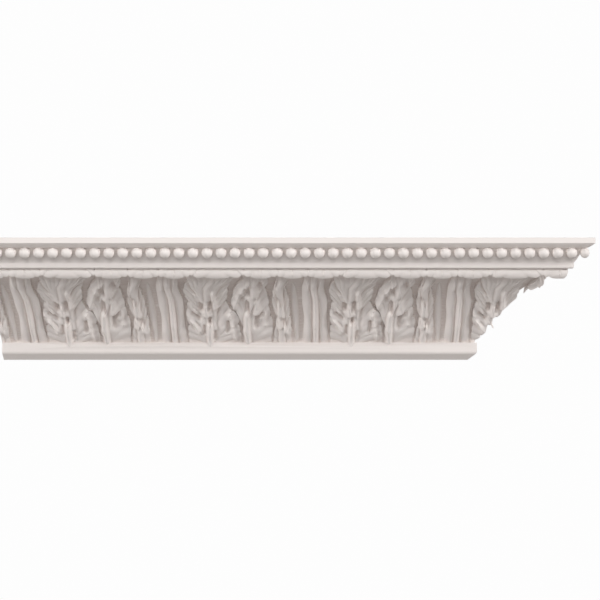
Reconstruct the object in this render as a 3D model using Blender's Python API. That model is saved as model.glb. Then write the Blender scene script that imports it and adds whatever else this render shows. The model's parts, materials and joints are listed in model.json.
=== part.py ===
"""Crown moulding with a row of pearls over acanthus leaves whose tips roll forward.

Metres. X runs along the wall, -Y out into the room, Z up. The origin is the middle of
the flat face that is glued to the wall. The -X end is sawn square and the +X end is
mitred for an outside corner. A profile point is (out, up): its distance out from the
wall and its height over the moulding's lower edge.
"""
import math

import bmesh
import bpy
import numpy as np
from mathutils import Matrix, Vector

# The stick
HEIGHT = 0.150
PROJECTION = 0.140
WALL_LENGTH = 0.586
MITRE = math.radians(45)

# The two faces that are glued, and the hollow corner behind
WALL_FACE = 0.025
CEILING_FACE = 0.030

# The foot: a quarter round under a plain face, with a ledge that the leaves grow from
FOOT_FLAT = 0.0065
FOOT_ROUND = 0.0125
FOOT_FACE = 0.010
FOOT_DEPTH = 0.018
LEDGE = 0.0048

# The cove and what is over it, from the top down
TOP_FACE = 0.006
CAVETTO_RISE = 0.0045
CAVETTO_DEPTH = 0.0135
CAVETTO_LIP = 0.001
PEARL_SETBACK = 0.021
BAND_HEIGHT = 0.0105
BAND_SETBACK = 0.0275
BAND_BULGE = 0.0035
COVE_SETBACK = 0.032
COVE_HOLLOW = 0.0114

# The pearls
PEARL_DIAMETER = 0.0132
PEARL_GAP = 0.0034
PEARL_HEADROOM = 0.00015
PEARL_PROUD = 0.0015
FIRST_PEARL = 0.0034

# The leaves as sheets: how far they stand off the cove, and the roll at the tips
LEAF_FOOT_RISE = 0.0012
LEAF_RISE = 0.0045
LEAF_SWELL_LENGTH = 0.022
LEAF_DIP_LENGTH = 0.026
LEAF_DIP = 0.0005
LEAF_HALF_THICKNESS = 0.0017
LEAF_ROOT = 0.0020
LEAF_SINK = 0.006
ROLL_RADIUS = 0.0053
ROLL_START = 0.0090
ROLL_TURN = math.radians(146)

# The pattern along the moulding
LEAF_REPEAT = 0.179
FIRST_LEAF = 0.0211
TIP_OVERLAP = 0.0006

# The carving on a leaf; on the roll only a share of it is left
MIDRIB = 0.0016
MIDRIB_WIDTH = 0.0030
EDGE_DROP = 0.0022
LOBE_GROOVE = 0.0022
LIP_GROOVE = 0.0009
LIP_SCALLOP = 0.0018
CORNER_NOTCH = 0.0012
REED_RELIEF = 0.0013
ROLL_RELIEF = 0.25

# How a leaf is drawn. A way of 0 to 1 follows its outline from the foot to the end of
# the tip, and the side ends at SIDE_WAY. Places on the side are shares of the side.
SIDE_WAY = 0.70
BELLY_AT = 0.40
WAIST_AT = 0.85
LOBES_START = 0.12
LIP_SQUARENESS = 0.5
CORNER_ON_ROLL = 0.25
CREST_ROUNDNESS = 0.7
LOBE_LEAN = math.radians(40)
VEIN_SWEEP = 1.45
VEIN_BEND_ACROSS = 0.35
VEIN_BEND_UP = 0.55
GROOVE_REACH = 0.7
END_FADE = 0.05
REED_FADE = 0.3

# How finely round shapes are cut into flats
ARC_STEPS = 4
SMALL_ARC_STEPS = 3
PEARL_SIDES = 8
PEARL_RINGS = 5
BUD_SIDES = 6
BUD_RINGS = 6
STEPS_PER_LOBE = 3
END_LOBE_STEPS = 2
PLAIN_SIDE_STEPS = 6
PATH_SAMPLES = 240

# Each leaf by its shares of the repeat: where its foot and its tip start and end, and
# how wide it is at the waist. Lobes are counted on one side of the midrib.
LEAVES = {
    "broad": {
        "foot": (0.205, 0.600), "tip": (0.260, 0.627), "waist": 0.84, "belly": 1.0,
        "lobes": 4, "lip_lobes": 2, "lobe_depth": 0.0062, "across": 3, "reeds": 0,
    },
    "medium": {
        "foot": (0.622, 0.800), "tip": (0.627, 0.847), "waist": 0.80, "belly": 1.04,
        "lobes": 3, "lip_lobes": 1, "lobe_depth": 0.0036, "across": 3, "reeds": 0,
    },
    "narrow": {
        "foot": (0.812, 0.938), "tip": (0.847, 1.053), "waist": 0.74, "belly": 1.04,
        "lobes": 3, "lip_lobes": 1, "lobe_depth": 0.0030, "across": 3, "reeds": 0,
    },
    "reeded": {
        "foot": (1.012, 1.190), "tip": (1.053, 1.260), "waist": 0.86, "belly": 1.0,
        "lobes": 0, "lip_lobes": 1, "lobe_depth": 0.0, "across": 3, "reeds": 3,
    },
}

# The bud that fills the gap between the narrow and the reeded leaf
BUD_SPAN = (0.946, 1.006)
BUD_LENGTH = 0.080
BUD_PROUD = 0.0034

PEARL_PITCH = PEARL_DIAMETER + PEARL_GAP
PEARL_ROW = PEARL_DIAMETER + 2 * PEARL_HEADROOM
COVE_EDGE = PROJECTION - COVE_SETBACK
BAND_TOP = HEIGHT - TOP_FACE - CAVETTO_RISE - PEARL_ROW
COVE_TOP = BAND_TOP - BAND_HEIGHT
FOOT_TOP = FOOT_ROUND + FOOT_FACE
LEFT_END = -WALL_LENGTH / 2
RIGHT_END = WALL_LENGTH / 2


def clear_scene():
    """Empty the scene of whatever it starts with."""
    for found in list(bpy.data.objects):
        bpy.data.objects.remove(found, do_unlink=True)


def new_collection(name):
    """Return a new collection under the scene's own."""
    made = bpy.data.collections.new(name)
    bpy.context.scene.collection.children.link(made)
    return made


def primed_white():
    """Return the matt warm white primer of the moulded foam."""
    material = bpy.data.materials.new("primed_white")
    material.use_nodes = True
    shader = material.node_tree.nodes["Principled BSDF"]
    shader.inputs["Base Color"].default_value = (0.86, 0.84, 0.80, 1.0)
    shader.inputs["Roughness"].default_value = 0.62
    shader.inputs["Metallic"].default_value = 0.0
    return material


def arc_points(start, end, rise, steps):
    """Points of a circular arc, ends included; rise is its height left of the chord."""
    start = np.array(start)
    end = np.array(end)
    chord = end - start
    length = math.hypot(*chord)
    radius = length * length / (8 * abs(rise)) + abs(rise) / 2
    half_turn = math.asin(length / 2 / radius)
    left = np.array((-chord[1], chord[0])) / length * math.copysign(1.0, rise)
    centre = (start + end) / 2 - left * (radius - abs(rise))
    ahead = chord / length
    points = []
    for angle in np.linspace(-half_turn, half_turn, steps + 1):
        points.append(centre + radius * (ahead * math.sin(angle) + left * math.cos(angle)))
    return points


def quarter_round(start, end, steps):
    """Points of a convex quarter ellipse that leaves start outward and meets end upward."""
    points = []
    for turn in np.linspace(0, math.pi / 2, steps + 1):
        out = start[0] + (end[0] - start[0]) * math.sin(turn)
        up = end[1] - (end[1] - start[1]) * math.cos(turn)
        points.append(np.array((out, up)))
    return points


def cove_arc(steps):
    """The hollow of the cove, from the foot's ledge to the band."""
    return arc_points((FOOT_DEPTH - LEDGE, FOOT_TOP), (COVE_EDGE, COVE_TOP), COVE_HOLLOW, steps)


def profile():
    """The section of the moulding, counter-clockwise from its lower back corner."""
    pearl_back = PROJECTION - PEARL_SETBACK
    pearl_top = BAND_TOP + PEARL_ROW
    band = PROJECTION - BAND_SETBACK
    cavetto_foot = PROJECTION - CAVETTO_DEPTH
    points = [np.array((0.0, 0.0))]
    points += quarter_round((FOOT_FLAT, 0.0), (FOOT_DEPTH, FOOT_ROUND), SMALL_ARC_STEPS)
    points.append(np.array((FOOT_DEPTH, FOOT_TOP)))
    points += cove_arc(ARC_STEPS)
    points += arc_points((band, COVE_TOP), (band, BAND_TOP), -BAND_BULGE, SMALL_ARC_STEPS)
    points.append(np.array((pearl_back, BAND_TOP)))
    points.append(np.array((pearl_back, pearl_top)))
    cavetto = arc_points(
        (cavetto_foot, pearl_top),
        (PROJECTION - CAVETTO_LIP, pearl_top + CAVETTO_RISE),
        CAVETTO_RISE / 4,
        SMALL_ARC_STEPS,
    )
    points += cavetto
    points.append(np.array((PROJECTION, pearl_top + CAVETTO_RISE)))
    points.append(np.array((PROJECTION, HEIGHT)))
    points.append(np.array((PROJECTION - CEILING_FACE, HEIGHT)))
    points.append(np.array((0.0, WALL_FACE)))
    return points


def placed(along, out, up):
    """A point of the model from its place along, out from the wall and up from the foot."""
    return Vector((along, -out, up - WALL_FACE / 2))


def mesh_of_curve(curve_object, collection):
    """Replace a curve object by a welded mesh object of the same name and place."""
    bpy.context.view_layer.update()
    evaluated = curve_object.evaluated_get(bpy.context.evaluated_depsgraph_get())
    mesh = bpy.data.meshes.new_from_object(evaluated)
    working = bmesh.new()
    working.from_mesh(mesh)
    bmesh.ops.remove_doubles(working, verts=working.verts, dist=1e-6)
    working.to_mesh(mesh)
    working.free()
    name = curve_object.name
    place = curve_object.matrix_world.copy()
    bpy.data.objects.remove(curve_object, do_unlink=True)
    made = bpy.data.objects.new(name, mesh)
    made.matrix_world = place
    collection.objects.link(made)
    return made


def moulding_body(name, collection):
    """The plain moulding: its section drawn as a curve, run a little past both ends."""
    curve = bpy.data.curves.new(name, "CURVE")
    curve.dimensions = "2D"
    curve.fill_mode = "BOTH"
    curve.extrude = WALL_LENGTH / 2 + PROJECTION + HEIGHT
    outline = profile()
    spline = curve.splines.new("POLY")
    spline.points.add(len(outline) - 1)
    for point, (out, up) in zip(spline.points, outline):
        point.co = (out, up, 0.0, 1.0)
    spline.use_cyclic_u = True
    drawn = bpy.data.objects.new(name, curve)
    collection.objects.link(drawn)
    turn = Matrix(((0, 0, -1, 0), (-1, 0, 0, 0), (0, 1, 0, 0), (0, 0, 0, 1)))
    drawn.matrix_world = Matrix.Translation(placed(0.0, 0.0, 0.0)) @ turn
    return mesh_of_curve(drawn, collection)


def ease(value, start, end):
    """Go from 0 at the start to 1 at the end, level at both."""
    share = np.clip((value - start) / (end - start), 0.0, 1.0)
    return share * share * (3 - 2 * share)


def crest(phase):
    """Roundness of a row of lobes: 0 in the notch at each whole phase, 1 between."""
    return abs(math.sin(math.pi * phase)) ** CREST_ROUNDNESS


class LeafPath:
    """The line that every leaf follows: up the cove, then forward and over in a roll."""

    def __init__(self):
        cove = np.array(cove_arc(PATH_SAMPLES))
        run = running_length(cove)
        at = np.linspace(0.0, run[-1] - ROLL_START, PATH_SAMPLES)
        base = read_table(at, run, cove)
        ahead = np.gradient(base, at, axis=0)
        ahead /= np.linalg.norm(ahead, axis=1)[:, None]
        outward = np.column_stack((ahead[:, 1], -ahead[:, 0]))
        dip = ease(at, at[-1] - LEAF_DIP_LENGTH, at[-1])
        stand_off = LEAF_FOOT_RISE + (LEAF_RISE - LEAF_FOOT_RISE) * ease(at, 0.0, LEAF_SWELL_LENGTH)
        stand_off = stand_off + (-LEAF_DIP - stand_off) * dip
        carving = (EDGE_DROP + LOBE_GROOVE) * (1 - (1 - ROLL_RELIEF) * dip)
        behind = LEAF_ROOT + np.maximum(stand_off, carving - LEAF_HALF_THICKNESS)
        points = base + outward * stand_off[:, None]
        turns = math.atan2(ahead[-1, 0], ahead[-1, 1]) + np.linspace(0.0, ROLL_TURN, PATH_SAMPLES)[1:]
        around = np.column_stack((np.cos(turns), -np.sin(turns)))
        self.roll_centre = points[-1] + outward[-1] * ROLL_RADIUS
        self.points = np.vstack((points, self.roll_centre - around * ROLL_RADIUS))
        self.outward = np.vstack((outward, around))
        self.behind = np.concatenate((behind, np.full(len(turns), LEAF_HALF_THICKNESS)))
        self.run = running_length(self.points)
        self.length = self.run[-1]
        self.roll_at = self.run[PATH_SAMPLES - 1]

    def at(self, length, table):
        """A value of the path at a length along it."""
        return read_table(length, self.run, table)


def running_length(points):
    """Length along a line of points, at each of them."""
    steps = np.hypot(*np.diff(points, axis=0).T)
    return np.concatenate(([0.0], np.cumsum(steps)))


def read_table(at, run, table):
    """Values of a table, or of each of its two columns, between its rows."""
    if table.ndim == 1:
        return np.interp(at, run, table)
    return np.stack([np.interp(at, run, table[:, column]) for column in (0, 1)], axis=-1)


class Leaf:
    """One kind of leaf: its outline, its veins and its carving, in the unrolled sheet."""

    def __init__(self, kind, path):
        self.kind = kind
        self.path = path
        foot_start, foot_end = kind["foot"]
        tip_start, tip_end = kind["tip"]
        self.foot_middle = (foot_start + foot_end) / 2 * LEAF_REPEAT
        self.tip_middle = (tip_start + tip_end) / 2 * LEAF_REPEAT
        self.foot_half = (foot_end - foot_start) / 2 * LEAF_REPEAT
        self.tip_half = (tip_end - tip_start) / 2 * LEAF_REPEAT + TIP_OVERLAP
        self.corner = path.roll_at + ROLL_RADIUS * CORNER_ON_ROLL
        self.side_steps = kind["lobes"] * STEPS_PER_LOBE or PLAIN_SIDE_STEPS
        self.lip_steps = kind["lip_lobes"] * STEPS_PER_LOBE + END_LOBE_STEPS

    def side_outline(self, share):
        """Half width and height of the side, without its lobes, at a share of its way."""
        belly = self.foot_half * self.kind["belly"]
        waist = self.tip_half * self.kind["waist"]
        across = self.foot_half + (belly - self.foot_half) * ease(share, 0.0, BELLY_AT)
        across += (waist - belly) * ease(share, BELLY_AT, WAIST_AT)
        across += (self.tip_half - waist) * ease(share, WAIST_AT, 1.0)
        return across, -LEAF_SINK + (self.corner + LEAF_SINK) * share

    def lip_outline(self, share):
        """Half width and height of the tip's squarish end, at a share of its way."""
        turn = share * math.pi / 2
        across = self.tip_half * max(math.cos(turn), 0.0) ** LIP_SQUARENESS
        rise = (self.path.length - self.corner) * math.sin(turn) ** LIP_SQUARENESS
        return across, self.corner + rise

    def phase(self, way):
        """Count of the lobes passed on the way, with a whole lobe over the midrib."""
        if way <= SIDE_WAY:
            return way / SIDE_WAY * self.kind["lobes"]
        lip_share = (way - SIDE_WAY) / (1 - SIDE_WAY)
        return self.kind["lobes"] + lip_share * (self.kind["lip_lobes"] + 0.5)

    def edge(self, way):
        """A point of the lobed outline."""
        lost = 1 - crest(self.phase(way))
        if way > SIDE_WAY:
            across, up = self.lip_outline((way - SIDE_WAY) / (1 - SIDE_WAY))
            return across, up - LIP_SCALLOP * lost
        share = way / SIDE_WAY
        across, up = self.side_outline(share)
        if self.kind["lobes"]:
            depth = self.kind["lobe_depth"] * ease(share, 0.0, LOBES_START)
            lost *= depth + (CORNER_NOTCH - depth) * ease(share, WAIST_AT, 1.0)
            across -= lost * math.cos(LOBE_LEAN)
            up -= lost * math.sin(LOBE_LEAN)
        return across, up

    def sheet_point(self, side, way):
        """Place in the flat sheet, on the vein that starts at this way; side is -1 to 1."""
        across, up = self.edge(way)
        start = -LEAF_SINK + (self.path.length + LEAF_SINK) * way ** VEIN_SWEEP
        reach = abs(side)
        bend = 2 * reach * (1 - reach)
        out = across * (bend * VEIN_BEND_ACROSS + reach ** 2)
        rise = start + (up - start) * (bend * VEIN_BEND_UP + reach ** 2)
        return math.copysign(out, side), rise

    def carving(self, side, way, across):
        """Height of the carving over the sheet's face."""
        reach = abs(side) * ease(1 - way, 0.0, END_FADE)
        height = MIDRIB * math.exp(-((across / MIDRIB_WIDTH) ** 2)) - EDGE_DROP * reach ** 2
        if self.kind["reeds"]:
            reed = abs(math.sin(math.pi * (reach * self.kind["reeds"] / 2 + 0.5)))
            return height - REED_RELIEF * (1 - reed) * ease(1 - way, 0.0, REED_FADE)
        return height - LOBE_GROOVE * (1 - crest(self.phase(way))) * ease(reach, 0.0, GROOVE_REACH)

    def point(self, side, way, in_front):
        """A point of the solid leaf, on its face or on its back."""
        across, up = self.sheet_point(side, way)
        on_path = max(up, 0.0)
        rolled = ease(up, self.path.roll_at, self.path.roll_at + ROLL_RADIUS / 2)
        dipped = ease(up, self.path.roll_at - LEAF_DIP_LENGTH, self.path.roll_at)
        if in_front:
            kept = 1 - (1 - ROLL_RELIEF) * dipped
            off = LEAF_HALF_THICKNESS + self.carving(side, way, across) * kept
        else:
            groove = LIP_GROOVE * (1 - crest(self.phase(way))) * abs(side)
            off = groove * rolled - self.path.at(on_path, self.path.behind)
        base = self.path.at(on_path, self.path.points)
        out, high = base + self.path.at(on_path, self.path.outward) * off
        lean = (self.tip_middle - self.foot_middle) * ease(up, 0.0, self.path.length)
        return placed(self.foot_middle + lean + across, out, high + min(up, 0.0))


def closed_mesh(working, name):
    """Finish a closed surface: ends drawn to a point are welded and its faces turned out."""
    bmesh.ops.remove_doubles(working, verts=working.verts, dist=1e-6)
    bmesh.ops.dissolve_degenerate(working, edges=working.edges, dist=1e-7)
    bmesh.ops.recalc_face_normals(working, faces=working.faces)
    if working.calc_volume(signed=True) < 0:
        bmesh.ops.reverse_faces(working, faces=working.faces)
    bmesh.ops.triangulate(working, faces=working.faces)
    mesh = bpy.data.meshes.new(name)
    working.to_mesh(mesh)
    working.free()
    return mesh


def leaf_mesh(name, leaf):
    """One leaf as a closed mesh: a grid for its back, extruded to its face."""
    columns = 2 * leaf.kind["across"]
    rows = leaf.side_steps + leaf.lip_steps
    working = bmesh.new()
    bmesh.ops.create_grid(working, x_segments=columns, y_segments=rows, size=1.0)
    raised = bmesh.ops.extrude_face_region(working, geom=working.faces[:], use_keep_orig=True)
    front = {item for item in raised["geom"] if isinstance(item, bmesh.types.BMVert)}
    ways = list(np.linspace(0.0, SIDE_WAY, leaf.side_steps + 1))
    ways += list(np.linspace(SIDE_WAY, 1.0, leaf.lip_steps + 1))[1:]
    for vertex in working.verts:
        way = ways[round((vertex.co.y + 1) / 2 * rows)]
        side = round(vertex.co.x * columns / 2) / (columns / 2)
        vertex.co = leaf.point(side, way, vertex in front)
    return closed_mesh(working, name)


def add_copies(mesh, first_edge, last_edge, path, collection):
    """A copy of the mesh for each repeat of the pattern that the stick has room for.

    The edges are where the shape starts and ends in the repeat. A leaf that the mitre
    would leave no root is left out.
    """
    root = float(path.roll_centre[0]) - ROLL_RADIUS
    room_end = RIGHT_END + root * math.tan(MITRE)
    start = LEFT_END + FIRST_LEAF
    while start + last_edge > LEFT_END:
        start -= LEAF_REPEAT
    number = 0
    while start + first_edge < room_end:
        if start + last_edge > LEFT_END:
            number += 1
            made = bpy.data.objects.new(f"{mesh.name}_{number}", mesh)
            made.location.x = start
            collection.objects.link(made)
        start += LEAF_REPEAT


def add_leaves(collection):
    """All the leaves of all the repeats."""
    path = LeafPath()
    for name, kind in LEAVES.items():
        mesh = leaf_mesh(name + "_leaf", Leaf(kind, path))
        first, last = kind["tip"]
        add_copies(mesh, first * LEAF_REPEAT, last * LEAF_REPEAT, path, collection)


def add_buds(collection):
    """The slim pointed buds between the narrow and the reeded leaves."""
    path = LeafPath()
    first = BUD_SPAN[0] * LEAF_REPEAT
    last = BUD_SPAN[1] * LEAF_REPEAT
    working = bmesh.new()
    bmesh.ops.create_uvsphere(working, u_segments=BUD_SIDES, v_segments=BUD_RINGS, radius=1.0)
    for vertex in working.verts:
        side, off, rise = vertex.co
        up = max((rise + 1) / 2 * BUD_LENGTH, 0.0)
        sunk = LEAF_ROOT - path.at(up, path.behind)
        base = path.at(up, path.points)
        out, high = base + path.at(up, path.outward) * (BUD_PROUD * off + sunk)
        vertex.co = placed((first + last) / 2 + side * (last - first) / 2, out, high)
    add_copies(closed_mesh(working, "bud"), first, last, path, collection)


def add_pearls(collection):
    """The row of pearls, one object of separate balls."""
    out = PROJECTION - PEARL_SETBACK + PEARL_PROUD
    up = BAND_TOP + PEARL_ROW / 2
    room = RIGHT_END + out * math.tan(MITRE) - LEFT_END - FIRST_PEARL
    count = math.floor(room / PEARL_PITCH) + 1
    working = bmesh.new()
    for number in range(count):
        along = LEFT_END + FIRST_PEARL + PEARL_PITCH * number
        bmesh.ops.create_uvsphere(
            working,
            u_segments=PEARL_SIDES,
            v_segments=PEARL_RINGS,
            radius=PEARL_DIAMETER / 2,
            matrix=Matrix.Translation(placed(along, out, up)),
        )
    mesh = bpy.data.meshes.new("pearls")
    working.to_mesh(mesh)
    working.free()
    collection.objects.link(bpy.data.objects.new("pearls", mesh))


def end_cutter(name, turn, along, side, collection):
    """A block whose one face is the cut through the stick's end."""
    size = 2 * (PROJECTION + HEIGHT) + WALL_LENGTH
    working = bmesh.new()
    bmesh.ops.create_cube(working, size=size)
    mesh = bpy.data.meshes.new(name)
    working.to_mesh(mesh)
    working.free()
    made = bpy.data.objects.new(name, mesh)
    shift = Matrix.Translation((side * size / 2, 0.0, 0.0))
    made.matrix_world = Matrix.Translation((along, 0.0, 0.0)) @ Matrix.Rotation(turn, 4, "Z") @ shift
    made.hide_render = True
    made.display_type = "WIRE"
    collection.objects.link(made)
    return made


def boolean(target, operation, operand):
    """Join a whole collection to the target, or take one object off it."""
    modifier = target.modifiers.new(operation.lower(), "BOOLEAN")
    modifier.operation = operation
    modifier.solver = "EXACT"
    if isinstance(operand, bpy.types.Collection):
        modifier.operand_type = "COLLECTION"
        modifier.collection = operand
    else:
        modifier.object = operand


def build():
    """Build the moulding."""
    clear_scene()
    parts = new_collection("acanthus_crown_moulding")
    cutters = new_collection("cutters")
    ornament = new_collection("ornament")
    moulding = moulding_body("acanthus_crown_moulding", parts)
    moulding.data.materials.append(primed_white())
    add_leaves(ornament)
    add_buds(ornament)
    add_pearls(ornament)
    for piece in ornament.objects:
        piece.hide_render = True
        piece.display_type = "WIRE"
    boolean(moulding, "UNION", ornament)
    boolean(moulding, "DIFFERENCE", end_cutter("square_end", 0.0, LEFT_END, -1, cutters))
    boolean(moulding, "DIFFERENCE", end_cutter("mitred_end", MITRE, RIGHT_END, 1, cutters))


build()
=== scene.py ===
"""Crown moulding of primed rigid foam, with pearls over acanthus leaves.

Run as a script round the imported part. Metres. X runs along the wall, -Y out into the
room, Z up. A profile point is (out, up): its distance out from the wall and its height
over the moulding's lower edge.
"""

import bisect
import json
import math

import bmesh
import bpy
import numpy as np
from bpy.props import FloatProperty, FloatVectorProperty, PointerProperty
from bpy.types import Operator, Panel, PropertyGroup
from mathutils import Matrix, Vector

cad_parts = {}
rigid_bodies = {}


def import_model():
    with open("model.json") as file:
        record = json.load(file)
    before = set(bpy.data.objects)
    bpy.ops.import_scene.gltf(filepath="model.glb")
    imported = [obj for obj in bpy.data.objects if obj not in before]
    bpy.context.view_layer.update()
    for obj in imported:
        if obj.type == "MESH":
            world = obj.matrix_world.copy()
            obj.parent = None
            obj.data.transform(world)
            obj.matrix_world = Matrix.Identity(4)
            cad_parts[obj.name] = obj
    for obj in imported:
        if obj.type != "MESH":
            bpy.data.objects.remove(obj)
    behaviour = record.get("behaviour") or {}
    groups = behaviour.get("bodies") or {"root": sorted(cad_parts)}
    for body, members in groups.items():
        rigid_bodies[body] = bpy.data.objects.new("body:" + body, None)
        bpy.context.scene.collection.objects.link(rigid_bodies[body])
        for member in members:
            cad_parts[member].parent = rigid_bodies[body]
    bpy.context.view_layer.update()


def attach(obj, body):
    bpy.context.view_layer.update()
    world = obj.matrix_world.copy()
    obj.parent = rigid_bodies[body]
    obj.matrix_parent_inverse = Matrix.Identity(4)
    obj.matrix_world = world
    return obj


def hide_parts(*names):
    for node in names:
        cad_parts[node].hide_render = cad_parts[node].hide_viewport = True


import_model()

bl_info = {
    "name": "Acanthus Crown Moulding",
    "version": (1, 0, 0),
    "blender": (4, 5, 0),
    "location": "View3D > Sidebar > Moulding",
    "description": "Builds a primed foam crown moulding with pearls and acanthus leaves",
    "category": "Add Mesh",
}

NODE = "acanthus_crown_moulding"
PIECE = "carved_moulding"
BODY = "root"
MITRE = math.radians(45)

# The two faces that are glued, and the hollow corner behind
WALL_FACE = 0.025
CEILING_FACE = 0.030

# The foot: a bevel and a small round under a plain face, with a ledge for the leaves
FOOT_FLAT = 0.0075
FOOT_BEVEL = 0.0072
FOOT_BEVEL_DEPTH = 0.0158
FOOT_ROUND = 0.0120
FOOT_BULGE = 0.0007
FOOT_FACE = 0.0105
FOOT_DEPTH = 0.018
LEDGE = 0.0048

# The cove and what is over it: from the top down a face, a slope, a soffit over the
# pearls' plate, a splay under it, and a fillet that rounds under onto the leaf tips
TOP_FACE = 0.0065
SLOPE_RISE = 0.0053
SLOPE_DEPTH = 0.0080
SLOPE_BULGE = 0.0005
SOFFIT_RISE = 0.001
PEARL_SETBACK = 0.0175
PLATE_LEAN = 0.007
SPLAY_RISE = 0.0046
SPLAY_DEPTH = 0.0033
FILLET = 0.0046
FILLET_ROUND = 0.0024
FILLET_ROUND_DEPTH = 0.0020
COVE_SETBACK = 0.032
COVE_HOLLOW = 0.0130

# The pearls' places. The middle of the last one may stand past the mitre by PEARL_CUT.
PEARL_HEADROOM = 0.00015
PEARL_PROUD = 0.0025
FIRST_PEARL = 0.0034
PEARL_CUT = 0.003

# The leaves as sheets: how far they stand off the cove, and the roll at the tips.
# LEAF_ROOT is how deep a leaf's back is set into the cove.
# ROLL_FILL is how much of the roll's radius is solid, so that a tip is no thin curl.
LEAF_FOOT_RISE = 0.0012
LEAF_SWELL_LENGTH = 0.022
LEAF_DIP_LENGTH = 0.024
LEAF_DIP = 0.0065
LEAF_HALF_THICKNESS = 0.0019
LEAF_ROOT = 0.0020
LEAF_SINK = 0.006
ROLL_START = 0.0050
ROLL_TURN = math.radians(172)
ROLL_FILL = 0.9
FIRST_LEAF = 0.0211
TIP_OVERLAP = 0.0006

# The carving on a leaf; on the roll only a share of it, ROLL_RELIEF, is left. Single
# strokes are cut STROKE_RELIEF times as deep as they are listed, the carved face stays
# between DEEPEST under and HIGHEST over the sheet's own, and no leaf gets thinner than
# THINNEST.
MIDRIB = 0.0012
MIDRIB_WIDTH = 0.0030
RIB_GROOVE = 0.0012
RIB_GROOVE_AT = 0.0046
RIB_GROOVE_WIDTH = 0.0012
EDGE_DROP = 0.0014
LOBE_GROOVE = 0.0024
LOBE_TILT = 0.0012
LEAFLET_GROOVE = 0.0012
LEAFLET_DEPTH = 0.0014
LEAFLETS_FROM = 0.25
LIP_GROOVE = 0.0009
LIP_SCALLOP = 0.0018
CORNER_NOTCH = 0.0012
REED_RELIEF = 0.0024
ROLL_RELIEF = 0.30
STROKE_RELIEF = 1.7
THINNEST = 0.0005
DEEPEST = 0.0062
HIGHEST = 0.0036

# How a leaf is drawn. A way of 0 to 1 follows its outline from the foot to the end of
# the tip, and the side ends at SIDE_WAY. Places on the side are shares of the side. The
# tip's corners are CORNER_TURN round its roll, and its end is squarer than a half circle.
SIDE_WAY = 0.70
NECK_AT = 0.85
LOBES_START = 0.12
LIP_SQUARENESS = 0.65
CORNER_TURN = math.radians(105)
CREST_ROUNDNESS = 0.7
LOBE_LEAN = math.radians(40)
VEIN_SWEEP = 1.8
VEIN_BEND_ACROSS = 0.38
VEIN_BEND_UP = 0.66
GROOVE_REACH = 0.7
END_FADE = 0.05
REED_FADE = 0.3

# The gaps between leaves, in shares of the repeat, at these lengths up the sheet and
# last at the corners of the tips. The tips lean over to the next leaf's side.
GAP_HEIGHTS = (0.0, 0.038, 0.065, 0.092, 0.113)
GAP_HALF_WIDTHS = (0.005, 0.008, 0.010, 0.017, 0.028, 0.0)
GAPS = {
    "broad": (0.210, 0.195, 0.200, 0.180, 0.195, 0.262),
    "medium": (0.590, 0.588, 0.510, 0.520, 0.580, 0.627),
    "narrow": (0.805, 0.820, 0.795, 0.790, 0.815, 0.847),
    "bud": (0.945, 0.948, 0.935, 0.925, 0.945, 1.053),
    "reeded": (1.015, 1.020, 1.005, 0.995, 1.000, 1.053),
    "next": (1.210, 1.195, 1.200, 1.180, 1.195, 1.262),
}

# How finely the shapes are cut into flats
COVE_STEPS = 40
ARC_STEPS = 10
PEARL_SIDES = 28
PEARL_RINGS = 14
BUD_SIDES = 20
BUD_RINGS = 28
STEPS_PER_LEAFLET = 5
STEPS_PER_LIP_LOBE = 10
PLAIN_SIDE_STEPS = 44
PATH_SAMPLES = 240
WELD = 1e-6
SLIVER = 1e-7
SMOOTH_BELOW = math.radians(38)

# A face belongs to a cut or to the back if its normal agrees this well with the plane's
# and, where other faces look the same way, if it lies this near to the plane
SAME_WAY = 0.99
ON_PLANE = 1e-5

# Each leaf: the gaps on its two sides, the place of its midrib in shares of the repeat
# at the same heights, its lobes on one side of the midrib and leaflets in one lobe.
LEAVES = {
    "broad": {
        "gaps": ("broad", "medium"), "rib": (0.365, 0.365, 0.355, 0.360, 0.400, 0.4445), "lobes": 4,
        "lip_lobes": 2, "lobe_depth": 0.0034, "leaflets": 3, "across": 26, "reeds": 0,
    },
    "medium": {
        "gaps": ("medium", "narrow"), "rib": (0.630, 0.628, 0.655, 0.675, 0.700, 0.737), "lobes": 3,
        "lip_lobes": 1, "lobe_depth": 0.0028, "leaflets": 3, "across": 20, "reeds": 0,
    },
    "narrow": {
        "gaps": ("narrow", "bud"), "rib": (0.872, 0.872, 0.865, 0.855, 0.880, 0.950), "lobes": 3,
        "lip_lobes": 1, "lobe_depth": 0.0022, "leaflets": 3, "across": 16, "reeds": 0,
    },
    "reeded": {
        "gaps": ("reeded", "next"), "rib": (1.112, 1.110, 1.106, 1.090, 1.095, 1.1575), "lobes": 0,
        "lip_lobes": 1, "lobe_depth": 0.0, "leaflets": 1, "across": 20, "reeds": 3,
    },
}

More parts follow.
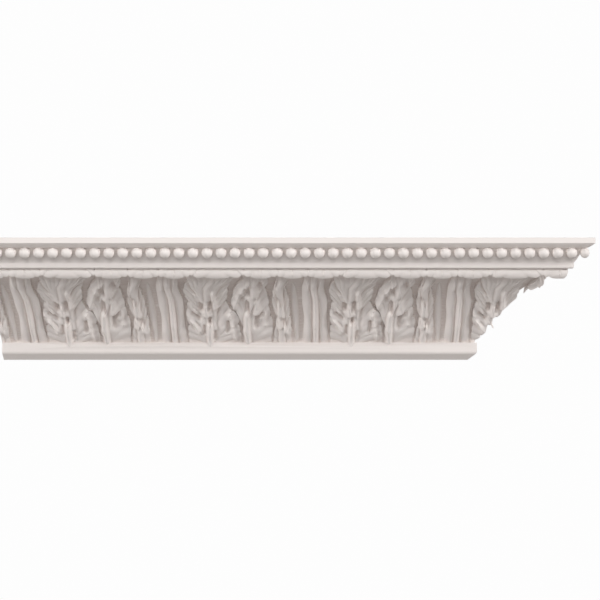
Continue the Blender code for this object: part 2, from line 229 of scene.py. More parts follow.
# Single strokes of the carving: from a place to a place, each as a share of the repeat
# and a length up the sheet, then the width and the height of the stroke.
STROKES = {
    "broad": (
        (0.205, 0.047, 0.245, 0.036, 0.0024, 0.0020),
        (0.245, 0.036, 0.292, 0.018, 0.0024, 0.0020),
        (0.243, 0.063, 0.280, 0.050, 0.0026, 0.0020),
        (0.280, 0.081, 0.332, 0.067, 0.0026, 0.0016),
        (0.340, 0.060, 0.346, 0.045, 0.0026, 0.0024),
        (0.395, 0.086, 0.411, 0.058, 0.0026, 0.0024),
        (0.365, 0.029, 0.361, 0.000, 0.0030, 0.0018),
        (0.533, 0.062, 0.503, 0.046, 0.0022, 0.0018),
        (0.503, 0.046, 0.527, 0.028, 0.0022, 0.0018),
        (0.527, 0.028, 0.550, 0.006, 0.0022, 0.0016),
        (0.310, 0.064, 0.310, 0.055, 0.0026, -0.0052),
        (0.372, 0.067, 0.370, 0.054, 0.0022, -0.0036),
        (0.366, 0.040, 0.366, 0.034, 0.0028, -0.0042),
        (0.250, 0.048, 0.300, 0.040, 0.0020, -0.0022),
        (0.325, 0.028, 0.325, 0.016, 0.0020, -0.0026),
        (0.402, 0.019, 0.400, 0.007, 0.0022, -0.0026),
        (0.495, 0.034, 0.490, 0.019, 0.0020, -0.0032),
        (0.425, 0.055, 0.420, 0.020, 0.0030, -0.0016),
    ),
    "medium": (
        (0.535, 0.056, 0.590, 0.088, 0.0028, 0.0020),
        (0.590, 0.088, 0.655, 0.106, 0.0028, 0.0016),
        (0.690, 0.091, 0.690, 0.079, 0.0036, 0.0022),
        (0.694, 0.069, 0.707, 0.050, 0.0042, 0.0026),
        (0.631, 0.045, 0.624, 0.022, 0.0030, 0.0022),
        (0.624, 0.022, 0.632, 0.003, 0.0030, 0.0020),
        (0.756, 0.049, 0.756, 0.031, 0.0028, 0.0020),
        (0.632, 0.093, 0.640, 0.081, 0.0024, -0.0040),
        (0.600, 0.070, 0.632, 0.084, 0.0020, -0.0018),
        (0.634, 0.066, 0.634, 0.054, 0.0026, -0.0052),
        (0.738, 0.049, 0.702, 0.042, 0.0020, -0.0030),
        (0.700, 0.042, 0.690, 0.028, 0.0024, -0.0048),
        (0.720, 0.103, 0.728, 0.094, 0.0030, -0.0030),
    ),
    "narrow": (
        (0.830, 0.095, 0.834, 0.080, 0.0034, 0.0020),
        (0.860, 0.063, 0.860, 0.046, 0.0034, 0.0024),
        (0.850, 0.038, 0.853, 0.026, 0.0026, 0.0020),
        (0.886, 0.028, 0.900, 0.018, 0.0030, 0.0018),
        (0.885, 0.038, 0.886, 0.031, 0.0022, -0.0024),
    ),
    "reeded": (
        (1.110, 0.028, 1.110, 0.090, 0.0030, 0.0016),
        (1.055, 0.112, 1.062, 0.094, 0.0030, 0.0014),
    ),
}

# The bud that fills the gap between the narrow and the reeded leaf, leaning as it rises.
# It goes as deep under the cove as it stands proud of it. The wall behind the cove is
# 3.4 mm at its thinnest, so each bud comes through the slanted back there by 0.6 mm.
BUD_FOOT = 0.980
BUD_TOP = 0.952
BUD_WIDTH = 0.052
BUD_LENGTH = 0.098
BUD_PROUD = 0.0040

# Studio: the camera looks level at the middle of the photograph's frame
CAMERA_PLACE = (0.086, -1.608, 0.0641)
LENS = 75.0
SENSOR = 36.0
FLOOR_DROP = 0.9
FLOOR_SIDE = 24.0
DOME_STRENGTH = 0.02
BACKDROP_STRENGTH = 0.985
WHITE = (1.0, 1.0, 1.0, 1.0)

# Soft far lights: degrees to the right of the camera, degrees up, and watts a square metre.
# They were chosen from a fit of single lights to the photograph's shading, and then
# adjusted by its rows of brightness.
LIGHT_SPREAD = math.radians(22)
LIGHTS = {
    "left": (-60, 10, 1.25),
    "right": (60, 19, 1.90),
    "front": (0, 20, 0.65),
    "top": (0, 60, 0.90),
    "rear": (180, 35, 1.10),
}

# The finishes' patterns: the width of one bump or cell in millimetres, as a metre over
# their count: 2.4, 1.1 and 3.8 mm. Orange peel and pores are about real size. Foam cells
# are a third of a millimetre in the real foam, too fine here, and are drawn coarser.
PEEL_MM = 1000 / 420
CELL_MM = 1000 / 900
PORE_MM = 1000 / 260

# Pointiness from a hollow, where the primer is painted darker as shade, to a flat, where it keeps its own
# colour
HOLLOW = 0.40
FLAT = 0.50


def linear(code):
    """Turn an sRGB hex colour into linear red, green, blue and alpha."""
    channels = [int(code[at:at + 2], 16) / 255 for at in (1, 3, 5)]
    return [c / 12.92 if c <= 0.04045 else ((c + 0.055) / 1.055) ** 2.4 for c in channels] + [1.0]


class MouldingSizes(PropertyGroup):
    """The sizes that a user would change."""

    height: FloatProperty(
        name="Height", description="Height on the wall", unit="LENGTH", default=0.150
    )
    projection: FloatProperty(
        name="Projection", description="Reach along the ceiling", unit="LENGTH", default=0.140
    )
    wall_length: FloatProperty(
        name="Wall Length", description="Length at the wall", unit="LENGTH", default=0.586
    )
    pearl_diameter: FloatProperty(
        name="Pearl", description="Diameter of a pearl", unit="LENGTH", default=0.0132
    )
    pearl_gap: FloatProperty(
        name="Pearl Gap", description="Gap between two pearls", unit="LENGTH", default=0.0034
    )
    leaf_repeat: FloatProperty(
        name="Leaf Repeat", description="Length of the leaf pattern", unit="LENGTH", default=0.179
    )
    leaf_rise: FloatProperty(
        name="Leaf Rise", description="How far leaves stand off the cove", unit="LENGTH", default=0.0062
    )
    roll_radius: FloatProperty(
        name="Tip Roll", description="Radius of the rolled leaf tips", unit="LENGTH", default=0.0081
    )


class MouldingColours(PropertyGroup):
    """The finishes that a user would change."""

    primer: FloatVectorProperty(
        name="Primer", description="Factory primer", subtype="COLOR", size=4, default=linear("#F0E9E5")
    )
    # Darker primer for the hollows of the carving: painted shade, not a colour of its own
    primer_painted_shade: FloatVectorProperty(
        name="Recess", description="Primer in hollows", subtype="COLOR", size=4, default=linear("#E0D5CF")
    )
    foam: FloatVectorProperty(
        name="Sawn Foam", description="Sawn ends", subtype="COLOR", size=4, default=linear("#E9DDC2")
    )
    back: FloatVectorProperty(
        name="Back", description="Skin of the back", subtype="COLOR", size=4, default=linear("#DDD3C2")
    )
    floor: FloatVectorProperty(
        name="Floor", description="Studio floor", subtype="COLOR", size=4, default=linear("#B4B1AF")
    )


def derived(sizes):
    """Heights and ends that follow from the sizes."""
    slope_foot = sizes.height - TOP_FACE - SLOPE_RISE
    soffit = slope_foot + SOFFIT_RISE
    splay_top = soffit - sizes.pearl_diameter - 2 * PEARL_HEADROOM
    return {
        "slope_foot": slope_foot,
        "soffit": soffit,
        "pearl_middle": soffit - PEARL_HEADROOM - sizes.pearl_diameter / 2,
        "splay_top": splay_top,
        "cove_top": splay_top - SPLAY_RISE - FILLET - FILLET_ROUND,
        "left": -sizes.wall_length / 2,
        "right": sizes.wall_length / 2,
    }


def placed(along, out, up):
    """A point of the model from its place along, out from the wall and up from the foot."""
    return Vector((along, -out, up - WALL_FACE / 2))


def arc_points(start, end, rise, steps):
    """Points of a circular arc, ends included; rise is its height left of the chord."""
    start = np.array(start)
    end = np.array(end)
    chord = end - start
    length = math.hypot(*chord)
    radius = length * length / (8 * abs(rise)) + abs(rise) / 2
    half_turn = math.asin(length / 2 / radius)
    left = np.array((-chord[1], chord[0])) / length * math.copysign(1.0, rise)
    centre = (start + end) / 2 - left * (radius - abs(rise))
    ahead = chord / length
    points = []
    for angle in np.linspace(-half_turn, half_turn, steps + 1):
        points.append(centre + radius * (ahead * math.sin(angle) + left * math.cos(angle)))
    return points


def quarter_round(start, end, steps):
    """Points of a convex quarter ellipse that leaves start outward and meets end upward."""
    points = []
    for turn in np.linspace(0, math.pi / 2, steps + 1):
        out = start[0] + (end[0] - start[0]) * math.sin(turn)
        up = end[1] - (end[1] - start[1]) * math.cos(turn)
        points.append(np.array((out, up)))
    return points


def cove_arc(sizes, steps):
    """The hollow of the cove, from the foot's ledge to the fillet."""
    start = (FOOT_DEPTH - LEDGE, FOOT_ROUND + FOOT_FACE)
    end = (sizes.projection - COVE_SETBACK, derived(sizes)["cove_top"])
    return arc_points(start, end, COVE_HOLLOW, steps)


def profile(sizes):
    """The section of the moulding, counter-clockwise from its lower back corner."""
    heights = derived(sizes)
    plate = sizes.projection - PEARL_SETBACK
    bevel_top = (FOOT_BEVEL_DEPTH, FOOT_BEVEL)
    slope_foot = (sizes.projection - SLOPE_DEPTH, heights["slope_foot"])
    slope_top = (sizes.projection, sizes.height - TOP_FACE)
    points = [np.array((0.0, 0.0)), np.array((FOOT_FLAT, 0.0))]
    points += arc_points(bevel_top, (FOOT_DEPTH, FOOT_ROUND), -FOOT_BULGE, ARC_STEPS)
    points.append(np.array((FOOT_DEPTH, FOOT_ROUND + FOOT_FACE)))
    points += cove_arc(sizes, COVE_STEPS)
    fillet = plate - SPLAY_DEPTH
    fillet_foot = heights["cove_top"] + FILLET_ROUND
    points += quarter_round(
        (fillet - FILLET_ROUND_DEPTH, heights["cove_top"]), (fillet, fillet_foot), ARC_STEPS
    )
    points.append(np.array((fillet, fillet_foot + FILLET)))
    points.append(np.array((plate, heights["splay_top"])))
    points.append(np.array((plate + PLATE_LEAN, heights["soffit"])))
    points += arc_points(slope_foot, slope_top, -SLOPE_BULGE, ARC_STEPS)
    points.append(np.array((sizes.projection, sizes.height)))
    points.append(np.array((sizes.projection - CEILING_FACE, sizes.height)))
    points.append(np.array((0.0, WALL_FACE)))
    return points


def ease(value, start, end):
    """Go from 0 at the start to 1 at the end, level at both."""
    share = np.minimum(np.maximum((value - start) / (end - start), 0.0), 1.0)
    return share * share * (3 - 2 * share)


def crest(phase):
    """Roundness of a row of lobes: 0 in the notch at each whole phase, 1 between."""
    return abs(math.sin(math.pi * phase)) ** CREST_ROUNDNESS


def bump(value, middle, width):
    """A smooth hump of height 1 at the middle."""
    return math.exp(-(((value - middle) / width) ** 2))


def running_length(points):
    """Length along a line of points, at each of them."""
    steps = np.hypot(*np.diff(points, axis=0).T)
    return np.concatenate(([0.0], np.cumsum(steps)))


def read_table(at, run, table):
    """Values of a table, or of each of its two columns, between its rows."""
    if table.ndim == 1:
        return np.interp(at, run, table)
    return np.stack([np.interp(at, run, table[:, column]) for column in (0, 1)], axis=-1)


class LeafPath:
    """The line that every leaf follows: up the cove, then forward and over in a roll."""

    def __init__(self, sizes):
        cove = np.array(cove_arc(sizes, PATH_SAMPLES))
        run = running_length(cove)
        at = np.linspace(0.0, run[-1] - ROLL_START, PATH_SAMPLES)
        base = read_table(at, run, cove)
        ahead = np.gradient(base, at, axis=0)
        ahead /= np.linalg.norm(ahead, axis=1)[:, None]
        outward = np.column_stack((ahead[:, 1], -ahead[:, 0]))
        dip = ease(at, at[-1] - LEAF_DIP_LENGTH, at[-1])
        rise = sizes.leaf_rise - LEAF_FOOT_RISE
        stand_off = LEAF_FOOT_RISE + rise * ease(at, 0.0, LEAF_SWELL_LENGTH)
        stand_off = stand_off + (-LEAF_DIP - stand_off) * dip
        carving = (EDGE_DROP + LOBE_GROOVE) * (1 - (1 - ROLL_RELIEF) * dip)
        behind = LEAF_ROOT + np.maximum(stand_off, carving - LEAF_HALF_THICKNESS)
        points = base + outward * stand_off[:, None]
        turns = math.atan2(ahead[-1, 0], ahead[-1, 1]) + np.linspace(0.0, ROLL_TURN, PATH_SAMPLES)[1:]
        around = np.column_stack((np.cos(turns), -np.sin(turns)))
        self.roll_radius = sizes.roll_radius
        self.roll_centre = points[-1] + outward[-1] * sizes.roll_radius
        self.points = np.vstack((points, self.roll_centre - around * sizes.roll_radius))
        self.outward = np.vstack((outward, around))
        self.behind = np.concatenate((behind, np.full(len(turns), LEAF_HALF_THICKNESS)))
        self.run = running_length(self.points)
        self.length = self.run[-1]
        self.roll_at = self.run[PATH_SAMPLES - 1]

    def at(self, length, table):
        """A value of the path at a length along it."""
        return read_table(length, self.run, table)


class Leaf:
    """One kind of leaf: its outline, its veins and its carving, in the unrolled sheet."""

    def __init__(self, name, path, repeat):
        self.kind = LEAVES[name]
        self.path = path
        self.repeat = repeat
        self.strokes = STROKES[name]
        left, right = (np.array(GAPS[gap]) for gap in self.kind["gaps"])
        half_gaps = np.array(GAP_HALF_WIDTHS)
        half_gaps[-1] = -TIP_OVERLAP / repeat
        self.left = (left + half_gaps) * repeat
        self.right = (right - half_gaps) * repeat
        self.rib = np.array(self.kind["rib"]) * repeat
        self.tip_half = (self.right[-1] - self.left[-1]) / 2
        self.corner = path.roll_at + path.roll_radius * CORNER_TURN
        self.heights = (*GAP_HEIGHTS, self.corner)
        self.side_steps = self.kind["lobes"] * self.kind["leaflets"] * STEPS_PER_LEAFLET or PLAIN_SIDE_STEPS
        self.lip_steps = round((self.kind["lip_lobes"] + 0.5) * STEPS_PER_LIP_LOBE)

    def line(self, values, up):
        """Where an edge or the midrib is at a height up the sheet."""
        above = min(max(bisect.bisect_left(self.heights, up), 1), len(self.heights) - 1)
        eased = ease(up, self.heights[above - 1], self.heights[above])
        return values[above - 1] + (values[above] - values[above - 1]) * eased

    def side_outline(self, side, share):
        """Width from the midrib and height of a side, without its lobes."""
        up = -LEAF_SINK + (self.corner + LEAF_SINK) * share
        rib = self.line(self.rib, up)
        if side > 0:
            return self.line(self.right, up) - rib, up
        return rib - self.line(self.left, up), up

    def lip_outline(self, share):
        """Half width and height of the tip's squarish end, at a share of its way."""
        turn = share * math.pi / 2
        across = self.tip_half * max(math.cos(turn), 0.0) ** LIP_SQUARENESS
        rise = (self.path.length - self.corner) * math.sin(turn) ** LIP_SQUARENESS
        return across, self.corner + rise

    def phase(self, way):
        """Count of the lobes passed on the way, with a whole lobe over the midrib."""
        if way <= SIDE_WAY:
            return way / SIDE_WAY * self.kind["lobes"]
        lip_share = (way - SIDE_WAY) / (1 - SIDE_WAY)
        return self.kind["lobes"] + lip_share * (self.kind["lip_lobes"] + 0.5)

    def leaflet_lost(self, way):
        """How deep in the notch between two leaflets of the side a way is, from 0 to 1."""
        if way > SIDE_WAY or not self.kind["lobes"]:
            return 0.0
        return 1 - crest(self.phase(way) * self.kind["leaflets"])

    def edge(self, side, way):
        """A point of the lobed outline."""
        lost = 1 - crest(self.phase(way))
        if way > SIDE_WAY:
            across, up = self.lip_outline((way - SIDE_WAY) / (1 - SIDE_WAY))
            return across, up - LIP_SCALLOP * lost
        share = way / SIDE_WAY
        across, up = self.side_outline(side, share)
        if self.kind["lobes"]:
            depth = self.kind["lobe_depth"] * ease(share, 0.0, LOBES_START)
            lost *= depth + (CORNER_NOTCH - depth) * ease(share, NECK_AT, 1.0)
            lost += LEAFLET_DEPTH * self.leaflet_lost(way) * (1 - ease(share, NECK_AT, 1.0))
            across -= lost * math.cos(LOBE_LEAN)
            up -= lost * math.sin(LOBE_LEAN)
        return across, up

    def sheet_point(self, side, way):
        """Place in the flat sheet, on the vein that starts at this way; side is -1 to 1."""
        across, up = self.edge(side, way)
        start = -LEAF_SINK + (self.path.length + LEAF_SINK) * way ** VEIN_SWEEP
        reach = abs(side)
        bend = 2 * reach * (1 - reach)
        out = across * (bend * VEIN_BEND_ACROSS + reach ** 2)
        rise = start + (up - start) * (bend * VEIN_BEND_UP + reach ** 2)
        return math.copysign(out, side), rise

    def stroke_height(self, along, up):
        """Height of all the single strokes at a place in the sheet."""
        height = 0.0
        for start, low, end, high, width, deep in self.strokes:
            run = (end - start) * self.repeat
            rise = high - low
            beside = along - start * self.repeat
            above = up - low
            share = min(max((beside * run + above * rise) / (run * run + rise * rise), 0.0), 1.0)
            height += deep * bump(math.hypot(beside - run * share, above - rise * share), 0.0, width)
        return height * STROKE_RELIEF

    def carving(self, side, way, across, up):
        """Height of the carving over the sheet's face."""
        reach = abs(side) * ease(1 - way, 0.0, END_FADE)
        height = MIDRIB * bump(across, 0.0, MIDRIB_WIDTH) - EDGE_DROP * reach ** 2
        height -= RIB_GROOVE * bump(abs(across), RIB_GROOVE_AT, RIB_GROOVE_WIDTH)
        if self.kind["reeds"]:
            reed = abs(math.sin(math.pi * (reach * self.kind["reeds"] / 2 + 0.5)))
            height -= REED_RELIEF * (1 - reed) * ease(1 - way, 0.0, REED_FADE)
        else:
            inner = ease(reach, 0.0, GROOVE_REACH)
            phase = self.phase(way)
            height -= LOBE_GROOVE * (1 - crest(phase)) * inner
            height -= LEAFLET_GROOVE * self.leaflet_lost(way) * ease(reach, LEAFLETS_FROM, GROOVE_REACH)
            if way < SIDE_WAY:
                height += LOBE_TILT * (0.5 - phase % 1.0) * inner
        height += self.stroke_height(self.line(self.rib, up) + across, up)
        return min(max(height, -DEEPEST), HIGHEST)

    def point(self, side, way, in_front):
        """A point of the solid leaf, on its face or on its back."""
        across, up = self.sheet_point(side, way)
        on_path = max(up, 0.0)
        rolled = ease(up, self.path.roll_at, self.path.roll_at + self.path.roll_radius / 2)
        dipped = ease(up, self.path.roll_at - LEAF_DIP_LENGTH, self.path.roll_at)
        groove = LIP_GROOVE * (1 - crest(self.phase(way))) * abs(side)
        off = groove * rolled - self.path.at(on_path, self.path.behind)
        if in_front:
            kept = 1 - (1 - ROLL_RELIEF) * dipped
            face = LEAF_HALF_THICKNESS + self.carving(side, way, across, up) * kept
            face += (self.path.roll_radius * ROLL_FILL - face) * rolled
            off = max(face, off + THINNEST)
        base = self.path.at(on_path, self.path.points)
        out, high = base + self.path.at(on_path, self.path.outward) * off
        return placed(self.line(self.rib, up) + across, out, high + min(up, 0.0))


def closed_mesh(working, name):
    """Finish a closed surface: ends drawn to a point are welded and its faces turned out."""
    bmesh.ops.remove_doubles(working, verts=working.verts, dist=WELD)
    bmesh.ops.dissolve_degenerate(working, edges=working.edges, dist=SLIVER)
    bmesh.ops.recalc_face_normals(working, faces=working.faces)
    if working.calc_volume(signed=True) < 0:
        bmesh.ops.reverse_faces(working, faces=working.faces)
    bmesh.ops.triangulate(working, faces=working.faces)
    mesh = bpy.data.meshes.new(name)
    working.to_mesh(mesh)
    working.free()
    return mesh


def leaf_mesh(name, leaf):
    """One leaf as a closed mesh: a grid for its back, extruded to its face."""
    columns = 2 * leaf.kind["across"]
    rows = leaf.side_steps + leaf.lip_steps
    working = bmesh.new()
    bmesh.ops.create_grid(working, x_segments=columns, y_segments=rows, size=1.0)
    raised = bmesh.ops.extrude_face_region(working, geom=working.faces[:], use_keep_orig=True)
    front = {item for item in raised["geom"] if isinstance(item, bmesh.types.BMVert)}
    ways = list(np.linspace(0.0, SIDE_WAY, leaf.side_steps + 1))
    ways += list(np.linspace(SIDE_WAY, 1.0, leaf.lip_steps + 1))[1:]
    for vertex in working.verts:
        way = ways[round((vertex.co.y + 1) / 2 * rows)]
        side = round(vertex.co.x * columns / 2) / (columns / 2)
        vertex.co = leaf.point(side, way, vertex in front)
    return closed_mesh(working, name)


def collection_named(name):
    """Return the collection of this name, made new if there is none."""
    found = bpy.data.collections.get(name)
    if found is None:
        found = bpy.data.collections.new(name)
        bpy.context.scene.collection.children.link(found)
    return found


def add_copies(mesh, first_edge, last_edge, sizes, path):
    """A copy of the mesh for each repeat of the pattern that the stick has room for."""
    ends = derived(sizes)
    root = float(path.roll_centre[0]) - path.roll_radius
    room_end = ends["right"] + root * math.tan(MITRE)
    start = ends["left"] + FIRST_LEAF
    while start + last_edge > ends["left"]:
        start -= sizes.leaf_repeat
    while start + first_edge < room_end:
        if start + last_edge > ends["left"]:
            made = bpy.data.objects.new(mesh.name, mesh)
            made.location.x = start
            collection_named("ornament").objects.link(made)
        start += sizes.leaf_repeat


def end_cutter(turn, along, side, sizes):
    """A block whose one face is the cut through the stick's end."""
    size = 2 * (sizes.projection + sizes.height) + sizes.wall_length
    working = bmesh.new()
    bmesh.ops.create_cube(working, size=size)
    mesh = bpy.data.meshes.new("end_cutter")
    working.to_mesh(mesh)
    working.free()
    made = bpy.data.objects.new("end_cutter", mesh)
    shift = Matrix.Translation((side * size / 2, 0.0, 0.0))
    made.matrix_world = Matrix.Translation((along, 0.0, 0.0)) @ Matrix.Rotation(turn, 4, "Z") @ shift
    collection_named("cutters").objects.link(made)
    return made


def boolean(target, operation, operand):
    """Join a whole collection to the target, or take one object off it."""
    modifier = target.modifiers.new(operation.lower(), "BOOLEAN")
    modifier.operation = operation
    modifier.solver = "MANIFOLD"
    if isinstance(operand, bpy.types.Collection):
        modifier.operand_type = "COLLECTION"
        modifier.collection = operand
    else:
        modifier.object = operand


def add_node(tree, kind, settings=None, **links):
    """Add a node, set its attributes and unlinked inputs, and link sockets to its inputs."""
    node = tree.nodes.new(kind)
    for name, value in (settings or {}).items():
        if hasattr(node, name):
            setattr(node, name, value)
        else:
            node.inputs[name].default_value = value
    for name, socket in links.items():
        tree.links.new(socket, node.inputs[name.replace("_", " ")])
    return node


def new_material(name):
    """A material with its node tree and its Principled shader."""
    material = bpy.data.materials.new(name)
    material.use_nodes = True
    return material, material.node_tree, material.node_tree.nodes["Principled BSDF"]


def scale_of(millimetres):
    """A pattern's scale over object coordinates in metres, from the width of one bump."""
    return 1000 / millimetres


def camera_sees(tree, lit, seen, output):
    """Show the camera one shader where everything else meets another."""
    rays = add_node(tree, "ShaderNodeLightPath")
    mixed = add_node(tree, "ShaderNodeMixShader")
    tree.links.new(rays.outputs["Is Camera Ray"], mixed.inputs[0])
    tree.links.new(lit.outputs[0], mixed.inputs[1])
    tree.links.new(seen.outputs[0], mixed.inputs[2])
    tree.links.new(mixed.outputs[0], tree.nodes[output].inputs["Surface"])


def factory_primer(colours):
    """Sprayed water-based primer over moulded polyurethane skin.

    Matt and warm white. A faint orange peel from the spray breaks up the highlights, and
    the primer is painted darker in the hollows of the carving as shade, which draws the
    leaves.
    """
    material, tree, shader = new_material("sprayed_primer_on_moulded_polyurethane")
    place = add_node(tree, "ShaderNodeNewGeometry")
    hollow = add_node(
        tree,
        "ShaderNodeMapRange",
        {"From Min": HOLLOW, "From Max": FLAT, "To Min": 1.0, "To Max": 0.0},
        Value=place.outputs["Pointiness"],
    )
    # Painted shade: the primer turns towards the darker recess colour in the hollows
    shaded_primer = add_node(tree, "ShaderNodeMix", {"data_type": "RGBA"})
    shaded_primer.inputs[6].default_value = colours.primer
    shaded_primer.inputs[7].default_value = colours.primer_painted_shade
    tree.links.new(hollow.outputs["Result"], shaded_primer.inputs[0])
    tree.links.new(shaded_primer.outputs[2], shader.inputs["Base Color"])
    coordinates = add_node(tree, "ShaderNodeTexCoord")
    peel = add_node(
        tree,
        "ShaderNodeTexNoise",
        {"Scale": scale_of(PEEL_MM), "Detail": 3.0, "Roughness": 0.55},
        Vector=coordinates.outputs["Object"],
    )
    relief = add_node(
        tree,
        "ShaderNodeBump",
        {"Strength": 0.25, "Distance": 0.0004},
        Height=peel.outputs["Fac"],
    )
    tree.links.new(relief.outputs["Normal"], shader.inputs["Normal"])
    shader.inputs["Roughness"].default_value = 0.55
    shader.inputs["IOR"].default_value = 1.5
    return material


def sawn_foam(colours):
    """Rigid polyurethane foam cut by a saw.

    The blade opens the cells, so a cut end is rough, without any gloss, and the bare
    foam's cream sets it off from the white primer.
    """
    material, tree, shader = new_material("sawn_rigid_polyurethane_foam")
    coordinates = add_node(tree, "ShaderNodeTexCoord")
    cells = add_node(
        tree,
        "ShaderNodeTexVoronoi",
        {"Scale": scale_of(CELL_MM)},
        Vector=coordinates.outputs["Object"],
    )
    relief = add_node(
        tree,
        "ShaderNodeBump",
        {"Strength": 0.6, "Distance": 0.0006},
        Height=cells.outputs["Distance"],
    )
    tree.links.new(relief.outputs["Normal"], shader.inputs["Normal"])
    shader.inputs["Base Color"].default_value = colours.foam
    shader.inputs["Roughness"].default_value = 0.9
    shader.inputs["IOR"].default_value = 1.5
    return material


def moulded_back(colours):
    """The open side of the mould: foam skin, struck off flat and left bare.

    Dull and a little darker than the primer, with shallow pores that show in low light.
    """
    material, tree, shader = new_material("struck_off_polyurethane_skin")
    coordinates = add_node(tree, "ShaderNodeTexCoord")
    pores = add_node(
        tree,
        "ShaderNodeTexNoise",
        {"Scale": scale_of(PORE_MM), "Detail": 5.0, "Roughness": 0.65},
        Vector=coordinates.outputs["Object"],
    )
    relief = add_node(
        tree,
        "ShaderNodeBump",
        {"Strength": 0.4, "Distance": 0.0006},
        Height=pores.outputs["Fac"],
    )
    tree.links.new(relief.outputs["Normal"], shader.inputs["Normal"])
    shader.inputs["Base Color"].default_value = colours.back
    shader.inputs["Roughness"].default_value = 0.8
    shader.inputs["IOR"].default_value = 1.5
    return material


class MOULDING_OT_plain_run(Operator):
    """Draw the section of the moulding and run it a little past both ends"""

    bl_idname = "moulding.plain_run"
    bl_label = "Add the Plain Moulding"

    def execute(self, context):
        sizes = context.scene.moulding_sizes
        outline = profile(sizes)
        half = sizes.wall_length / 2 + sizes.projection + sizes.height
        working = bmesh.new()
        section = [working.verts.new(placed(-half, out, up)) for out, up in outline]
        face = working.faces.new(section)
        run = bmesh.ops.extrude_face_region(working, geom=[face], use_keep_orig=True)
        moved = [item for item in run["geom"] if isinstance(item, bmesh.types.BMVert)]
        bmesh.ops.translate(working, verts=moved, vec=(2 * half, 0.0, 0.0))
        made = bpy.data.objects.new(PIECE, closed_mesh(working, PIECE))
        context.scene.collection.objects.link(made)
        return {"FINISHED"}


class MOULDING_OT_leaf_row(Operator):
    """Carve one leaf of each kind and repeat them along the cove"""

    bl_idname = "moulding.leaf_row"
    bl_label = "Add the Leaves"

    def execute(self, context):
        sizes = context.scene.moulding_sizes
        path = LeafPath(sizes)
        for name in LEAVES:
            leaf = Leaf(name, path, sizes.leaf_repeat)
            add_copies(leaf_mesh(name + "_leaf", leaf), leaf.left[-1], max(leaf.right), sizes, path)
        return {"FINISHED"}


class MOULDING_OT_bud_row(Operator):
    """Add the slim pointed buds between the narrow and the reeded leaves"""

    bl_idname = "moulding.bud_row"
    bl_label = "Add the Buds"

    def execute(self, context):
        sizes = context.scene.moulding_sizes
        path = LeafPath(sizes)
        half = BUD_WIDTH / 2 * sizes.leaf_repeat
        foot = BUD_FOOT * sizes.leaf_repeat
        top = BUD_TOP * sizes.leaf_repeat
        working = bmesh.new()
        bmesh.ops.create_uvsphere(working, u_segments=BUD_SIDES, v_segments=BUD_RINGS, radius=1.0)
        for vertex in working.verts:
            side, off, rise = vertex.co
            up = max((rise + 1) / 2 * BUD_LENGTH, 0.0)
            sunk = LEAF_ROOT - path.at(up, path.behind)
            base = path.at(up, path.points)
            out, high = base + path.at(up, path.outward) * (BUD_PROUD * off + sunk)
            vertex.co = placed(foot + (top - foot) * up / BUD_LENGTH + side * half, out, high)
        add_copies(closed_mesh(working, "bud"), top - half, foot + half, sizes, path)
        return {"FINISHED"}


class MOULDING_OT_pearl_row(Operator):
    """String the pearls along the groove under the top edge"""

    bl_idname = "moulding.pearl_row"
    bl_label = "Add the Pearls"

    def execute(self, context):
        sizes = context.scene.moulding_sizes
        heights = derived(sizes)
        pitch = sizes.pearl_diameter + sizes.pearl_gap
        out = sizes.projection - PEARL_SETBACK + PLATE_LEAN / 2 + PEARL_PROUD
        up = heights["pearl_middle"]
        first = heights["left"] + FIRST_PEARL
        room = heights["right"] + out * math.tan(MITRE) - first
        working = bmesh.new()
        for number in range(math.floor((room + PEARL_CUT) / pitch) + 1):
            bmesh.ops.create_uvsphere(
                working,
                u_segments=PEARL_SIDES,
                v_segments=PEARL_RINGS,
                radius=sizes.pearl_diameter / 2,
                matrix=Matrix.Translation(placed(first + pitch * number, out, up)),
            )
        mesh = bpy.data.meshes.new("pearls")
        bmesh.ops.triangulate(working, faces=working.faces)
        working.to_mesh(mesh)
        working.free()
        collection_named("ornament").objects.link(bpy.data.objects.new("pearls", mesh))
        return {"FINISHED"}


class MOULDING_OT_join_and_saw(Operator):
    """Join the ornament to the moulding, saw both ends and finish the surfaces"""

    bl_idname = "moulding.join_and_saw"
    bl_label = "Join and Saw"

    def execute(self, context):
        sizes = context.scene.moulding_sizes
        colours = context.scene.moulding_colours
        ends = derived(sizes)
        blank = bpy.data.objects[PIECE]
        boolean(blank, "UNION", collection_named("ornament"))
        boolean(blank, "DIFFERENCE", end_cutter(0.0, ends["left"], -1, sizes))
        boolean(blank, "DIFFERENCE", end_cutter(MITRE, ends["right"], 1, sizes))
        context.view_layer.update()
        evaluated = blank.evaluated_get(context.evaluated_depsgraph_get())
        mesh = bpy.data.meshes.new_from_object(evaluated)
        blank.modifiers.clear()
        blank.data = mesh
        for name in ("ornament", "cutters"):
            spent = bpy.data.collections[name]
            for found in list(spent.objects):
                bpy.data.objects.remove(found, do_unlink=True)
            bpy.data.collections.remove(spent)
        mesh.materials.clear()
        for material in (factory_primer(colours), sawn_foam(colours), moulded_back(colours)):
            mesh.materials.append(material)
        mitre_normal = Vector((math.cos(MITRE), math.sin(MITRE), 0.0))
        slope = math.atan2(sizes.height - WALL_FACE, sizes.projection - CEILING_FACE)
        hollow_normal = Vector((0.0, math.sin(slope), math.cos(slope)))
        ceiling = sizes.height - WALL_FACE / 2
        for polygon in mesh.polygons:
            if polygon.normal.x < -SAME_WAY and polygon.center.x < ends["left"] + ON_PLANE:
                polygon.material_index = 1
            elif polygon.normal.dot(mitre_normal) > SAME_WAY:
                polygon.material_index = 1
            elif max(polygon.normal.y, polygon.normal.dot(hollow_normal)) > SAME_WAY or (
                polygon.normal.z > SAME_WAY and polygon.center.z > ceiling - ON_PLANE
            ):
                polygon.material_index = 2
        mesh.shade_smooth()
        mesh.set_sharp_from_angle(angle=SMOOTH_BELOW)
        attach(blank, BODY)
        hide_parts(NODE)
        return {"FINISHED"}


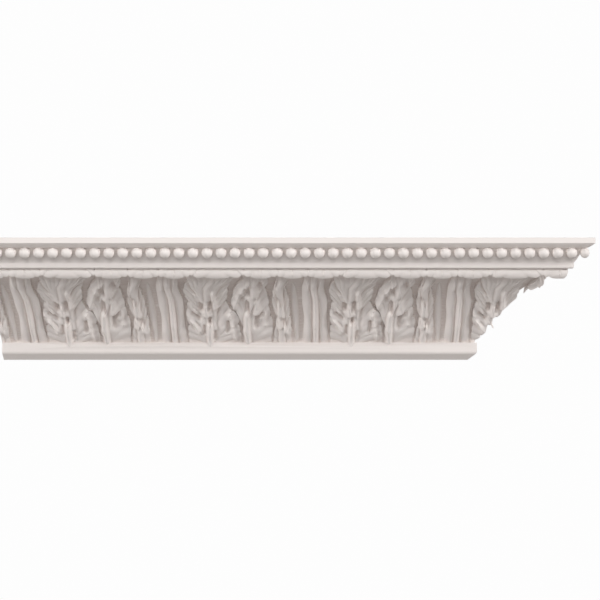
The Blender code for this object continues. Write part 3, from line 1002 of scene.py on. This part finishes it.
class MOULDING_OT_studio(Operator):
    """Add the pale floor, the soft light and the camera"""

    bl_idname = "moulding.studio"
    bl_label = "Add the Studio"

    def execute(self, context):
        scene = context.scene
        scene.view_settings.view_transform = "Standard"
        working = bmesh.new()
        bmesh.ops.create_grid(working, x_segments=1, y_segments=1, size=FLOOR_SIDE / 2)
        mesh = bpy.data.meshes.new("floor")
        working.to_mesh(mesh)
        working.free()
        floor = bpy.data.objects.new("floor", mesh)
        floor.location.z = -WALL_FACE / 2 - FLOOR_DROP
        scene.collection.objects.link(floor)
        material, tree, shader = new_material("studio_paper")
        shader.inputs["Base Color"].default_value = scene.moulding_colours.floor
        shader.inputs["Roughness"].default_value = 0.9
        glow = add_node(tree, "ShaderNodeEmission", {"Strength": BACKDROP_STRENGTH})
        glow.inputs["Color"].default_value = WHITE
        camera_sees(tree, shader, glow, "Material Output")
        mesh.materials.append(material)

        world = bpy.data.worlds.new("studio")
        scene.world = world
        world.use_nodes = True
        tree = world.node_tree
        dome = tree.nodes["Background"]
        dome.inputs["Color"].default_value = WHITE
        dome.inputs["Strength"].default_value = DOME_STRENGTH
        seen = add_node(tree, "ShaderNodeBackground", {"Strength": BACKDROP_STRENGTH})
        seen.inputs["Color"].default_value = WHITE
        camera_sees(tree, dome, seen, "World Output")

        for name, (azimuth, elevation, strength) in LIGHTS.items():
            light = bpy.data.lights.new(name, "SUN")
            light.angle = LIGHT_SPREAD
            light.energy = strength
            lamp = bpy.data.objects.new(name, light)
            tilt = math.radians(90 - elevation)
            lamp.rotation_euler = (tilt, 0.0, math.radians(azimuth))
            scene.collection.objects.link(lamp)

        camera = bpy.data.objects.new("camera", bpy.data.cameras.new("camera"))
        camera.data.lens = LENS
        camera.data.sensor_width = SENSOR
        camera.location = CAMERA_PLACE
        camera.rotation_euler = (math.pi / 2, 0.0, 0.0)
        scene.collection.objects.link(camera)
        scene.camera = camera
        return {"FINISHED"}


OPERATORS = (
    MOULDING_OT_plain_run,
    MOULDING_OT_leaf_row,
    MOULDING_OT_bud_row,
    MOULDING_OT_pearl_row,
    MOULDING_OT_join_and_saw,
    MOULDING_OT_studio,
)


class VIEW3D_PT_moulding(Panel):
    """Sizes, finishes and steps of the crown moulding"""

    bl_label = "Crown Moulding"
    bl_space_type = "VIEW_3D"
    bl_region_type = "UI"
    bl_category = "Moulding"

    def draw(self, context):
        for group in (context.scene.moulding_sizes, context.scene.moulding_colours):
            for name in group.__annotations__:
                self.layout.prop(group, name)
        for operator in OPERATORS:
            self.layout.operator(operator.bl_idname)


CLASSES = (MouldingSizes, MouldingColours, *OPERATORS, VIEW3D_PT_moulding)


def register():
    """Register the classes and hang the settings on the scene."""
    for found in CLASSES:
        bpy.utils.register_class(found)
    bpy.types.Scene.moulding_sizes = PointerProperty(type=MouldingSizes)
    bpy.types.Scene.moulding_colours = PointerProperty(type=MouldingColours)


def unregister():
    """Take the settings and the classes away again."""
    del bpy.types.Scene.moulding_colours
    del bpy.types.Scene.moulding_sizes
    for found in reversed(CLASSES):
        bpy.utils.unregister_class(found)


def main():
    """Build everything."""
    register()
    bpy.ops.moulding.plain_run()
    bpy.ops.moulding.leaf_row()
    bpy.ops.moulding.bud_row()
    bpy.ops.moulding.pearl_row()
    bpy.ops.moulding.join_and_saw()
    bpy.ops.moulding.studio()


if __name__ == "__main__":
    main()
